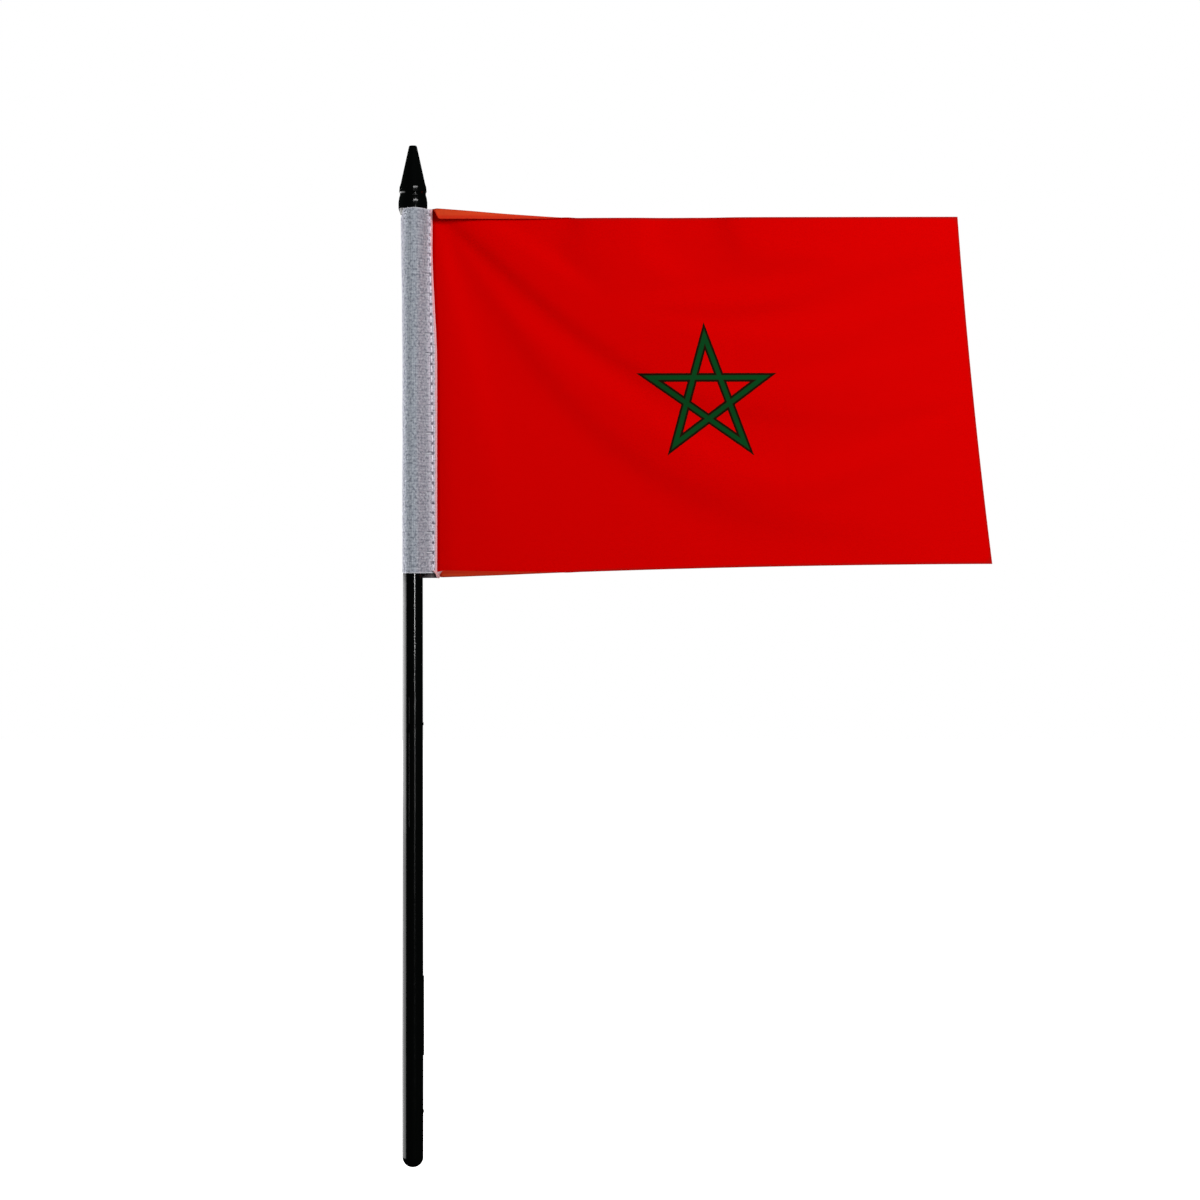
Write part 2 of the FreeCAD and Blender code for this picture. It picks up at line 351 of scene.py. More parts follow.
def star_depth(finish, across, along):
    """How deep a point lies in the star's ink, in millimetres. It is below 0 outside the ink."""
    up = along + (SHEET_BOTTOM - STAR_CENTRE[1])
    right = across + (SHEET_LEFT - STAR_CENTRE[0]) + up * STAR_LEAN
    edge_out = STAR_RADIUS * math.cos(math.radians(72))    # from the centre to each long edge
    smallest = second = band = None
    for i in range(5):
        turn = math.radians(90 + 72 * i)
        inward = edge_out - (right * math.cos(turn) + up * math.sin(turn))
        in_band = STAR_BAND / 2 - abs(inward - STAR_BAND / 2)
        if smallest is None:
            smallest, second, band = inward, 1000.0, in_band
            continue
        second = smallest.upper(inward).lower(second)
        smallest = smallest.lower(inward)
        band = band.upper(in_band)
    return band.lower(second)


# %% Printed face and reverse
CLOTH_YARN = 0.26                 # millimetres from yarn to yarn


def darker(colour, share):
    return tuple(part * share for part in colour[:3]) + (1,)


def make_cloth(name, red, ink, rim, sealed, edge_width, mottle, fade):
    """One side of the printed cloth. Fade is how dark its clouds are, and sealed its cut edge's colour."""
    finish = Finish(name)
    across, along = finish.flat_place(SHEET_WIDTH, SHEET_HEIGHT)
    flat = finish.joined(across, along)
    height, warp_up = plain_weave(finish, across, along, CLOTH_YARN, CLOTH_YARN)
    clouds = finish.grain(flat, 0.035, 2.0)
    slubs = finish.grain(finish.joined(across * 0.12, along * 2.2), 1.0, 2.0)
    depth = star_depth(finish, across, along) + 0.10 * (slubs - 0.5)
    in_ink = finish.step(depth, -0.06, 0.06)
    in_core = finish.step(depth, STAR_RIM - 0.14, STAR_RIM + 0.14)
    from_edge = finish.stored("from_edge")
    edge_ragged = from_edge + 0.5 * (finish.grain(flat, 0.9, 3.0) - 0.5)
    at_edge = 1 - finish.step(edge_ragged, edge_width * 0.35, edge_width)
    ground = finish.mix(clouds * mottle, red, darker(red, fade))
    gap_shade = 1 - finish.step(height, 0.0, 0.5)
    ground = finish.mix(gap_shade * 0.22, ground, darker(red, 0.55))
    print_colour = finish.mix(in_core, rim, ink)
    colour = finish.mix(in_ink, ground, print_colour)
    from_tape = finish.stored("from_tape")
    # Painted shadow: a darker red line on the cloth within about a millimetre of the tape's free edge, where
    # the flap shades it.
    crease = (1 - finish.step(from_tape, 0.35, 1.15)) * finish.step(from_tape, -0.6, 0.1)
    colour = finish.mix(crease * 0.45, colour, darker(red, 0.30))
    colour = finish.mix(at_edge * 0.6, colour, sealed)
    roughness = 0.82 + 0.08 * warp_up - 0.12 * at_edge
    return finish.surface(
        colour, roughness, height + slubs * 0.5, 0.00003,
        Specular_IOR_Level=0.035, Specular_Tint=(1.0, 0.12, 0.08, 1),
        Sheen_Weight=0.06, Sheen_Roughness=0.5, Sheen_Tint=(1.0, 0.10, 0.06, 1),
    )


printed_face = make_cloth(
    "printed_face", (0.640, 0.0, 0.0, 1), (0.0020, 0.054, 0.0110, 1), (0.012, 0.005, 0.002, 1),
    (0.37, 0.006, 0.004, 1), 0.75, 0.35, 0.93,
)
printed_reverse = make_cloth(
    "printed_reverse", (0.72, 0.060, 0.017, 1), (0.035, 0.080, 0.032, 1), (0.12, 0.030, 0.014, 1),
    (0.58, 0.012, 0.006, 1), 1.6, 0.9, 0.80,
)

# %% [markdown]
# ## White tape
# The sleeve is a coarser, ribbed white tape: thick level yarns over thin upright ones. Its colour is
# painted bluish grey all over: painted shade, because the tape's front is out of the light, and a little
# bluer where the black staff shows through it. It is nearly white where its two cut ends were sealed,
# and pink along its free edges, where the red cloth shows through one layer. Painted highlights and
# shade mark the drag creases beside the seam, and painted shade darkens the needle holes and the gaps
# between yarns. Its inside has a finish of its own, painted near black as shade, and shows at the open
# lower end.

# %% Tape finish
TAPE_WIDTH = 24.9                 # millimetres, cut flat
TAPE_LENGTH = (sleeve_high.z - sleeve_low.z) / MM
TAPE_RIB = 0.76
TAPE_WARP = 0.50
STITCHES = 36
STITCH_LENGTH = 1.95
STITCH_PITCH = (seam_high.z - seam_low.z - STITCH_LENGTH * MM) / (STITCHES - 1) / MM
FIRST_HOLE = seam_low.z / MM - 0.39   # a hole lies in each gap between two stitches


def to_nearest(finish, value, pitch, offset):
    """How far a value is from the nearest multiple of pitch, counted from offset."""
    turns = (value - offset) / pitch + 0.5
    return abs(turns.math("FRACT", turns) - 0.5) * pitch


def make_tape():
    finish = Finish("white_ribbed_tape")
    across, along = finish.flat_place(TAPE_WIDTH, TAPE_LENGTH)
    flat = finish.joined(across, along)
    up = finish.parts(finish.object_place())[2] / MM
    over_staff = finish.stored("over_staff")
    from_seam = finish.stored("from_seam")
    from_free_edge = TAPE_WIDTH / 2 - abs(across - TAPE_WIDTH / 2)

    sway = 0.9 * (finish.grain(finish.joined(across * 0.35, along * 0.10), 1.0, 2.0) - 0.5)
    height, warp_up = plain_weave(finish, across + sway * 0.5, along + sway, TAPE_WARP, TAPE_RIB)
    blotch = finish.grain(flat, 0.55, 3.0)
    speckle = finish.grain(finish.joined(across, along * 0.85), 1.5, 2.0)
    beside_flap = finish.step(from_seam, 1.9, 2.8) * (1 - finish.step(from_seam, 4.6, 5.6))
    ribbed = beside_flap * finish.step(blotch, 0.40, 0.55)

    # Painted shade: the tape is white, but both base colours are a bluish grey because its front is out of
    # the light. The second one, used where the black staff lies behind, is bluer.
    colour = finish.mix(over_staff, (0.335, 0.330, 0.375, 1), (0.345, 0.375, 0.425, 1))
    near_seam = 1 - finish.step(from_seam + 1.2 * (blotch - 0.5), 0.2, 1.6)
    colour = finish.mix(near_seam * 0.75, colour, (0.72, 0.63, 0.72, 1))
    bright_specks = finish.step(speckle, 0.52, 0.66)
    dark_specks = 1 - finish.step(speckle, 0.36, 0.47)
    # Painted shade in the gaps between yarns, deeper in the ribbed patches beside the flap.
    yarn_gap_shade = 1 - finish.step(height, 0.10, 0.60)
    colour = finish.mix(bright_specks * 0.45, colour, (0.56, 0.58, 0.63, 1))
    colour = finish.mix(dark_specks * 0.60, colour, (0.105, 0.115, 0.145, 1))
    colour = finish.mix(yarn_gap_shade * (0.35 + 0.35 * ribbed), colour, (0.13, 0.14, 0.18, 1))

    # Painted highlight and shade on the drag creases beside the seam: a light line on each crest and a dark
    # line just above it. Both also raise and lower the bump.
    fold_line = to_nearest(finish, up, 2 * STITCH_PITCH, FIRST_HOLE)
    shade_line = to_nearest(finish, up, 2 * STITCH_PITCH, FIRST_HOLE + 0.34)
    drawn = finish.step(from_seam, -0.1, 0.2) * (1 - finish.step(from_seam, 1.5, 2.1))
    stretches = finish.grain(finish.joined(0.0, up * 0.11), 1.0, 0.0)
    drawn = drawn * finish.step(stretches, 0.44, 0.52)
    crest_and_highlight = (1 - finish.step(fold_line, 0.08, 0.24)) * drawn
    shade = (1 - finish.step(shade_line, 0.06, 0.22)) * drawn
    colour = finish.mix(crest_and_highlight * 0.6, colour, (0.72, 0.72, 0.78, 1))
    colour = finish.mix(shade * 0.5, colour, (0.12, 0.12, 0.15, 1))
    # Painted shade in the needle holes between stitches. The bump sinks them too.
    to_hole = to_nearest(finish, up, STITCH_PITCH, FIRST_HOLE)
    needle_hole_shade = 1 - finish.step(to_hole, 0.16, 0.52)
    needle_hole_shade = needle_hole_shade * (1 - finish.step(abs(from_seam), 0.16, 0.46))
    colour = finish.mix(needle_hole_shade * 0.75, colour, (0.10, 0.085, 0.12, 1))

    pink = 1 - finish.step(from_free_edge + 0.6 * (blotch - 0.5), 0.30, 0.75)
    colour = finish.mix(pink * 0.85, colour, (0.90, 0.40, 0.43, 1))
    from_end = along.lower(TAPE_LENGTH - along)
    sealed = 1 - finish.step(from_end + 0.12 * (speckle - 0.5), 0.16, 0.36)
    colour = finish.mix(sealed * 0.6, colour, (0.66, 0.66, 0.70, 1))
    roughness = 0.80 + 0.10 * warp_up
    bumps = height + speckle * 0.8 + crest_and_highlight * 1.5 - shade * 0.8 - needle_hole_shade * 1.2
    return finish.surface(
        colour, roughness, bumps, 0.00010,
        Specular_IOR_Level=0.2, Sheen_Weight=0.12, Sheen_Roughness=0.4, Sheen_Tint=(0.9, 0.92, 1.0, 1),
    )


white_tape = make_tape()


def make_shaded_tape_lining():
    """Painted shade: the inside is coloured near black, a little lighter in soft clouds."""
    finish = Finish("painted_shade_tape_lining")
    across, along = finish.flat_place(TAPE_WIDTH, TAPE_LENGTH)
    height, _ = plain_weave(finish, across, along, TAPE_WARP, TAPE_RIB)
    inside_clouds = finish.grain(finish.joined(across * 0.4, along * 0.15), 1.0, 3.0)
    less_shaded = finish.step(inside_clouds, 0.40, 0.62)
    yarn_gap_shade = 1 - finish.step(height, 0.10, 0.60)
    # Painted shade: near black, lighter in soft patches, and darker still in the gaps between yarns.
    colour = finish.mix(less_shaded, (0.050, 0.038, 0.038, 1), (0.13, 0.105, 0.11, 1))
    colour = finish.mix(yarn_gap_shade * 0.5, colour, (0.03, 0.025, 0.028, 1))
    return finish.surface(colour, 0.85 + 0.1 * inside_clouds, height, 0.0001, Specular_IOR_Level=0.15)


shaded_tape_lining = make_shaded_tape_lining()

# %% [markdown]
# ## Sewing thread
# The thread is two bright plies twisted together. The twist is in its shape, so the finish only adds
# the lustre of its fibres and the faint lilac shade that sits between the plies.

# %% Thread finish
def make_thread():
    finish = Finish("bright_white_thread")
    place = finish.object_place()
    fibres = finish.grain(finish.stretched(place, (1, 1, 0.35)), 16000.0, 2.0)
    colour = finish.mix(finish.step(fibres, 0.35, 0.65), (0.66, 0.58, 0.72, 1), (0.97, 0.94, 1.0, 1))
    return finish.surface(
        colour, 0.45 + 0.2 * fibres, fibres, 0.00002,
        Specular_IOR_Level=0.4, Sheen_Weight=0.2, Sheen_Tint=(1.0, 0.97, 1.0, 1),
    )


white_thread = make_thread()

# %% [markdown]
# ## Round parts, ring by ring
# A moulded rod or cap is one outline turned about an axis. It starts as a single ring of points,
# which is extruded and scaled for every corner of the outline, and its ends are drawn to a point.
# It could be spun from a drawn outline too, but rings leave level edges where detail can be raised.

# %% Helpers
def choose(*pieces):
    """Selects these pieces and nothing else. The first becomes the active one."""
    bpy.ops.object.select_all(action="DESELECT")
    for piece in pieces:
        piece.select_set(True)
    bpy.context.view_layer.objects.active = pieces[0]


def pick(piece, kind, wanted):
    """In edit mode, selects the points, edges or faces whose middle passes a test. Says how many."""
    bpy.ops.mesh.select_mode(type=kind)
    bpy.ops.mesh.select_all(action="DESELECT")
    shape = bmesh.from_edit_mesh(piece.data)
    parts = {"VERT": shape.verts, "EDGE": shape.edges, "FACE": shape.faces}[kind]
    count = 0
    for part in parts:
        middle = part.co if kind == "VERT" else sum((v.co for v in part.verts), Vector()) / len(part.verts)
        if wanted(middle):
            part.select_set(True)
            count += 1
    shape.select_flush(True)
    bmesh.update_edit_mesh(piece.data)
    return count


def grow(radius, height, next_radius, next_height):
    """Extrudes the selected ring to the next corner of the outline."""
    bpy.ops.mesh.extrude_region_move(TRANSFORM_OT_translate={"value": (0, 0, next_height - height)})
    share = next_radius / radius
    bpy.ops.transform.resize(value=(share, share, 1), center_override=(0, 0, next_height))


def turned(name, outline, sides):
    """A closed round piece from its half outline, a list of (radius, height). Both ends are poles."""
    bpy.ops.object.select_all(action="DESELECT")
    (radius, height), *corners = outline
    bpy.ops.mesh.primitive_circle_add(vertices=sides, radius=radius, location=(0, 0, height))
    piece = bpy.context.object
    piece.name = name
    bpy.ops.object.transform_apply(location=True, rotation=True, scale=True)
    bpy.ops.object.mode_set(mode="EDIT")
    bpy.ops.mesh.select_mode(type="VERT")
    bpy.ops.mesh.select_all(action="SELECT")
    bpy.ops.mesh.extrude_region_move()
    bpy.ops.mesh.merge(type="CENTER")
    pick(piece, "VERT", lambda p: math.hypot(p.x, p.y) > radius * 0.5)
    for corner in corners:
        grow(radius, height, *corner)
        radius, height = corner
    bpy.ops.mesh.extrude_region_move()
    bpy.ops.mesh.merge(type="CENTER")
    bpy.ops.mesh.select_all(action="SELECT")
    bpy.ops.mesh.remove_doubles(threshold=0.000001)
    bpy.ops.mesh.normals_make_consistent(inside=False)
    bpy.ops.object.mode_set(mode="OBJECT")
    return piece


def use(piece, kind, **settings):
    """Adds a modifier and applies it."""
    modifier = piece.modifiers.new(kind.title(), kind)
    for name, value in settings.items():
        setattr(modifier, name, value)
    bpy.context.view_layer.objects.active = piece
    bpy.ops.object.modifier_apply(modifier=modifier.name)


def finish_piece(piece, material, smooth_degrees=35):
    """Gives a piece its material and smooth shading, and says how many faces it has."""
    choose(piece)
    bpy.ops.object.shade_smooth_by_angle(angle=math.radians(smooth_degrees))
    if not piece.data.materials:
        piece.data.materials.append(material)
    print(piece.name, "has", len(piece.data.polygons), "faces")


# %% [markdown]
# ## Staff
# One moulding: a round foot, a straight length that plugs into a base, and a slight taper up to the
# cap. Rows of small raised bars are moulded on it. Its rings are set where each bar starts and ends,
# so a bar is just a patch of faces, picked by height and side and pushed outwards. Two low gate marks
# and a fine parting line, which every such moulding has, are raised the same way.

# %% Staff outline
STAFF_SIDES = 96
FOOT_RADIUS = -staff_low.z
PLUG_TOP = 26 * MM
SHANK_RADIUS = 2.70 * MM
TAPER_TOP = 157 * MM
FOOT_RINGS = 12
BAR_PROUD = 0.22 * MM
BAR_HALF_TURN = math.radians(16.9)
SIDE_BARS = [(28.0 + 1.6 * i, 1.0) for i in range(14)]
FRONT_BARS = [(90.0 + 1.6 * i, 0.9) for i in range(24)]
GATES = [(12.2, 0.8), (118.6, 0.8)]


def shank_radius(z):
    share = min(max((z - PLUG_TOP) / (TAPER_TOP - PLUG_TOP), 0), 1)
    return FOOT_RADIUS + (SHANK_RADIUS - FOOT_RADIUS) * share


def staff_outline():
    foot = []
    for i in range(1, FOOT_RINGS):
        turn = math.pi / 2 * i / FOOT_RINGS
        foot.append((FOOT_RADIUS * math.sin(turn), -FOOT_RADIUS * math.cos(turn)))
    heights = {0.0, PLUG_TOP, TAPER_TOP, staff_high.z - 0.3 * MM}
    for low, length in SIDE_BARS + FRONT_BARS + GATES:
        heights |= {low * MM, (low + length) * MM}
    shank = [(shank_radius(z), z) for z in sorted(heights)]
    top = [(SHANK_RADIUS - 0.3 * MM, staff_high.z), (SHANK_RADIUS * 0.4, staff_high.z)]
    return foot + shank + top


staff = turned("moulded_staff", staff_outline(), STAFF_SIDES)
print("staff rings:", len(staff_outline()))

# %% Raise the bars and gate marks
def side_test(rows, middle_turn, half_turn):
    """True for a face in one of the rows, within half_turn of a direction round the staff."""
    def wanted(p):
        turn = math.atan2(p.y, p.x) - middle_turn
        turn = (turn + math.pi) % (2 * math.pi) - math.pi
        on_wall = math.hypot(p.x, p.y) > SHANK_RADIUS * 0.95
        in_row = any(low * MM < p.z < (low + length) * MM for low, length in rows)
        return on_wall and in_row and abs(turn) < half_turn
    return wanted


def raise_patches(piece, rows, middle_turn, half_turn, proud):
    count = pick(piece, "FACE", side_test(rows, middle_turn, half_turn))
    bpy.ops.mesh.extrude_region_shrink_fatten(TRANSFORM_OT_shrink_fatten={"value": proud})
    return count


choose(staff)
bpy.ops.object.mode_set(mode="EDIT")
raised = raise_patches(staff, FRONT_BARS, -math.pi / 2, BAR_HALF_TURN, BAR_PROUD)
raised += raise_patches(staff, SIDE_BARS, 0, BAR_HALF_TURN, BAR_PROUD)
raised += raise_patches(staff, GATES, 0, math.radians(6), 0.16 * MM)
bpy.ops.object.mode_set(mode="OBJECT")
print("faces raised:", raised)

# %% Parting line, soft edges and finish
PARTING_PROUD = 0.03 * MM

for vertex in staff.data.vertices:
    if abs(vertex.co.y) < 0.01 * MM and abs(vertex.co.x) > 0.5 * MM:
        vertex.co.x += math.copysign(PARTING_PROUD, vertex.co.x)
use(staff, "BEVEL", width=0.07 * MM, segments=2, limit_method="ANGLE", angle_limit=math.radians(40))
finish_piece(staff, black_plastic, 20)
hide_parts("staff")
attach(staff, "staff")

# %% [markdown]
# ## Cap
# The cap is a hollow cone pushed down over the staff's plain top. Its outline is turned like the
# staff's, from the end of its blind socket, down and round its mouth, up over the collar, the groove
# and the lip, and on to the blunt tip. A bevel rounds each corner a little, as a mould does, and
# those roundings are what catch the light.

# %% Cap
CAP_SIDES = 96
SOCKET_RADIUS = SHANK_RADIUS + 0.05 * MM


def cap_outline():
    """Heights are millimetres above the cap's mouth."""
    socket_end = (staff_high.z - cap_low.z) / MM
    tip = (cap_high.z - cap_low.z) / MM + 0.2
    outside = [
        (3.34, 0.0), (3.40, 0.08), (3.97, 1.75), (3.98, 3.4), (3.78, 4.7), (3.56, 5.4), (3.56, 5.9),
        (3.78, 6.3), (3.65, 7.7), (3.42, 8.3),
    ]
    point = [(1.14, tip - 0.45), (1.00, tip - 0.1), (0.72, tip), (0.3, tip)]
    inside = [(0.6, socket_end), (SOCKET_RADIUS / MM, socket_end), (SOCKET_RADIUS / MM, 0.0)]
    return [(r * MM, cap_low.z + h * MM) for r, h in inside + outside + point]


cap = turned("pointed_cap", cap_outline(), CAP_SIDES)
use(cap, "BEVEL", width=0.10 * MM, segments=3, limit_method="ANGLE", angle_limit=math.radians(12))
finish_piece(cap, black_plastic, 30)
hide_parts("finial_cap")
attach(cap, "cap")

# %% [markdown]
# ## Sleeve
# The sleeve is one flat tape, folded round the staff so that its two long edges meet on the cloth.
# It starts as a flat grid, whose own flat place is kept for the weave. Every point then goes to where
# folding takes it: along a fat curve that starts at the fold on the left, swells over the staff,
# closes at the pinch and runs on as a flat flap. Because the width along the curve never changes,
# the flaps draw back by themselves at the top, where the mouth opens round the cap's collar.

# %% Folding the tape
TAPE_COLUMNS = 76
TAPE_ROWS = 364
TAPE_THICKNESS = 0.18
FLAP_Y = 0.235                    # from the cloth's middle to the tape's middle
PINCH_ROUND = 0.8                 # where the two layers part, they part in a soft bend
FLAP_REACH = 6.0                  # further than any flap goes, so that it can be cut to length
SWELL_LOW, SWELL_HIGH = 218.0, 262.0
tape_bottom, tape_top = sleeve_low.z / MM, sleeve_high.z / MM


def rise(value, start, end):
    """A smooth step from 0 to 1, for numbers and for arrays."""
    share = np.clip((value - start) / (end - start), 0, 1)
    return share * share * (3 - 2 * share)


def seam_x(z):
    """The seam leans: it is further from the staff lower down."""
    return 5.50 - 0.85 * rise(z, 165.0, 268.0)


def free_edge_x(z):
    """Where the tape's long edges lie. The opening mouth draws them back."""
    return 6.65 - 1.30 * rise(z, 216.0, 251.0)


def half_section(z):
    """Half of the folded tape seen from above, as points (x, y) with y < 0, from the fold outwards."""
    swell = rise(z, SWELL_LOW, SWELL_HIGH)
    left, right, deep = 2.80 + 0.40 * swell, 2.90 + 1.0 * swell, 3.05 + 1.10 * swell
    pinch = np.array([seam_x(z) - 1.0 + 0.5 * swell, -FLAP_Y])
    turn = np.linspace(0, math.pi / 2, 50)
    fold_to_front = np.stack([-left * np.cos(turn), -deep * np.sin(turn)], axis=1)
    seen = pinch * (1, right / deep)
    leave = math.atan2(seen[1], seen[0]) - math.acos(min(right / np.linalg.norm(seen), 1))
    turn = np.linspace(-math.pi / 2, leave, 40)[1:]
    front_to_side = np.stack([right * np.cos(turn), deep * np.sin(turn)], axis=1)
    to_staff = front_to_side[-1] - pinch
    start = pinch + to_staff * min(PINCH_ROUND / np.linalg.norm(to_staff), 0.9)
    end = pinch + np.array([PINCH_ROUND, 0])
    share = np.linspace(0, 1, 16)[:, None]
    bend = start * (1 - share) ** 2 + pinch * 2 * share * (1 - share) + end * share ** 2
    flap = np.array([[pinch[0] + FLAP_REACH, -FLAP_Y]])
    return np.concatenate([fold_to_front, front_to_side, bend, flap])


def along_section(z, share):
    """A point this share of the way from the fold to the free edge, how far it is from that edge,
    and its outward direction."""
    line = half_section(z)
    reached = np.concatenate([[0], np.cumsum(np.linalg.norm(np.diff(line, axis=0), axis=1))])
    full = np.interp(free_edge_x(z), line[-2:, 0], reached[-2:])

    def point_at(distance):
        distance = max(distance, 0)
        return np.array([np.interp(distance, reached, line[:, 0]), np.interp(distance, reached, line[:, 1])])

    way = point_at((share + 0.005) * full) - point_at((share - 0.005) * full)
    way = way / np.linalg.norm(way)
    return point_at(share * full), (1 - share) * full, np.array([way[1], -way[0]])


# %% Puckers and the arched mouth
CAP_GAP = 0.15


def mouth_height(x):
    """The tape's upper edge: it arches over the collar and dips steeply at the fold."""
    at_fold = 2.1 * (1 - rise(x, -3.2, -2.3))
    beside_fold = 0.15 * (1 - rise(x, -2.4, -0.5))
    towards_seam = 0.25 * rise(x, 0.5, 4.5)
    return tape_top + 0.30 - at_fold - beside_fold - towards_seam


def clear_of_cap(x, y, z):
    """Pushes a point of the mouth outwards until it clears the cap's collar. Here y is 0 or more."""
    collar = 3.40 + 0.58 * np.clip((z - cap_low.z / MM) / 2.1, 0, 1)
    room = rise(z, cap_low.z / MM - 1.6, cap_low.z / MM) * (collar + CAP_GAP)
    return max(y, math.sqrt(max(room * room - x * x, 0)))


def pucker(from_seam, z, side):
    """How far the stitches draw the tape in or let it puff out, in millimetres."""
    turns = (z - FIRST_HOLE) / STITCH_PITCH
    to_hole = (turns - math.floor(turns + 0.5)) * STITCH_PITCH
    inward = max(from_seam, 0.0)
    pull = -0.12 * math.exp(-((to_hole / 0.36) ** 2)) * math.exp(-((from_seam / 0.7) ** 2))
    drag = -0.06 * math.exp(-((to_hole / 0.5) ** 2)) * math.exp(-inward / 1.7)
    puff = 0.06 * math.exp(-((from_seam / 1.1) ** 2))
    spot = Vector((from_seam * 0.30, z * 0.85, 7.0 * side))
    crease = 0.09 * noise.noise(spot) * math.exp(-(((inward - 2.4) / 2.2) ** 2))
    slow = 0.08 * noise.noise(Vector((from_seam * 0.12, z * 0.10, 3.0 * side + 20)))
    room = 1.0 if from_seam > -0.2 else 0.5
    return room * (pull + drag + puff) + (crease + slow) * rise(from_seam, 0.3, 1.5)


# %% Make the sleeve
def flat_grid(name, columns, rows):
    """A flat grid of faces with its own flat map. Rows run up, and each point's place is set later."""
    bpy.ops.object.select_all(action="DESELECT")
    upright = (math.pi / 2, 0, 0)
    bpy.ops.mesh.primitive_grid_add(x_subdivisions=columns, y_subdivisions=rows, size=1, rotation=upright)
    piece = bpy.context.object
    piece.name = name
    bpy.ops.object.transform_apply(location=True, rotation=True, scale=True)
    piece.data.uv_layers[0].name = "flat"
    return piece


def grid_places(piece):
    """For each point of a new flat grid, its share across and its share up."""
    places = np.zeros(len(piece.data.vertices) * 3)
    piece.data.vertices.foreach_get("co", places)
    places = places.reshape(-1, 3)
    return places[:, 0] + 0.5, places[:, 2] + 0.5


def keep_numbers(piece, name, numbers):
    """Stores one number for each point, for the finish to read."""
    attribute = piece.data.attributes.new(name, "FLOAT", "POINT")
    attribute.data.foreach_set("value", np.asarray(numbers, np.float32))


FRONT_SHORT = 0.55                # the front layer of the fold ends a little above the frame's place
BACK_HANGS = 1.30                 # and the back layer hangs lower than the front

sleeve = flat_grid("white_sleeve", TAPE_COLUMNS, TAPE_ROWS)
share_across, share_up = grid_places(sleeve)
half_width = TAPE_WIDTH / 2
from_fold = (share_across - 0.5) * TAPE_WIDTH
tops = mouth_height(np.array([along_section(tape_top, abs(u) / half_width)[0][0] for u in from_fold]))
bottoms = tape_bottom + FRONT_SHORT - BACK_HANGS * rise(from_fold, 2.0, 7.5)
heights = bottoms + share_up * (tops - bottoms)
places = np.zeros((len(from_fold), 3))
seam_gaps = np.zeros(len(from_fold))
for i, (u, z) in enumerate(zip(from_fold, heights)):
    side = -1 if u < 0 else 1
    point, from_edge, outward = along_section(z, abs(u) / half_width)
    seam_gaps[i] = from_edge - float(free_edge_x(z) - seam_x(z))
    x, y = point + outward * pucker(seam_gaps[i], z, side)
    y = side * clear_of_cap(x, -y, z)
    places[i] = x, y, z
sleeve.data.vertices.foreach_set("co", (places * MM).ravel())
keep_numbers(sleeve, "over_staff", 1 - rise(np.abs(places[:, 0] + 0.4), 0.9, 2.6))
keep_numbers(sleeve, "from_seam", seam_gaps)
print("sleeve from x", round(places[:, 0].min(), 2), "to", round(places[:, 0].max(), 2), "mm")

# %% Thicken and place the sleeve
sleeve.data.materials.append(shaded_tape_lining)
sleeve.data.materials.append(white_tape)
outer_side = {"material_offset": 1, "material_offset_rim": 1}
use(sleeve, "SOLIDIFY", thickness=TAPE_THICKNESS * MM, offset=0, **outer_side)
bpy.ops.object.mode_set(mode="EDIT")
bpy.ops.mesh.select_all(action="SELECT")
bpy.ops.mesh.normals_make_consistent(inside=False)
bpy.ops.object.mode_set(mode="OBJECT")
finish_piece(sleeve, white_tape, 50)
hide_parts("heading_sleeve")
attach(sleeve, "sleeve")

# %% [markdown]
# ## Printed cloth
# The cloth is one flat sheet, sewn in along its hoist and free elsewhere. First a plain copy of it
# is simulated: its hoist is pinned a little shorter than it was cut, as a seam always draws cloth up,
# and a light breeze plays on the rest, which is held loosely so that it keeps its cut outline. The
# settled points then shape the finer sheet. Its upper and lower edges roll forwards beside the seam
# and show the paler reverse, so the sheet has a few more rows there, which are curled over last.

# %% The cut outline
CLOTH_THICKNESS = 0.19
CLOTH_COLUMNS = 116
CLOTH_ROWS = 76
EDGE_ROWS = 6                     # extra rows past each long edge, for its roll
FLY_TOP_X, FLY_TOP_Z = 149.70, 258.13
FLY_BOTTOM_X, FLY_BOTTOM_Z = SHEET_RIGHT, 163.2
FLY_BOW = 0.62                    # the fly's cut edge is a little hollow
BOTTOM_BOW = 0.45                 # and so is the lower one, past the flare
FLARE_END = 45.0
TOP_Z, TOP_FLARE = 257.85, 2.70
BOTTOM_Z, BOTTOM_FLARE = 160.95, -0.75
SEWN_TO = 6.6                     # millimetres from the staff's axis to where the cloth is free


def long_edge(x, flare_end_z, flare, fly_x, fly_z):
    """The height of the upper or lower edge: flared beside the seam, then nearly straight."""
    straight = flare_end_z + (fly_z - flare_end_z) * (x - FLARE_END) / (fly_x - FLARE_END)
    return straight + flare * np.clip((FLARE_END - x) / (FLARE_END - SHEET_LEFT), 0, 1) ** 1.15


def bottom_edge(x):
    tucked_in = 1.15 * (1 - rise(x, 5.4, 7.2))
    share = np.clip((x - FLARE_END) / (FLY_BOTTOM_X - FLARE_END), 0, 1)
    hollow = BOTTOM_BOW * 4 * share * (1 - share)
    return long_edge(x, BOTTOM_Z, BOTTOM_FLARE, FLY_BOTTOM_X, FLY_BOTTOM_Z) + tucked_in + hollow


def top_edge(x):
    return long_edge(x, TOP_Z, TOP_FLARE, FLY_TOP_X, FLY_TOP_Z)


def fly_edge(t):
    return FLY_BOTTOM_X + (FLY_TOP_X - FLY_BOTTOM_X) * t - FLY_BOW * 4 * t * (1 - t)


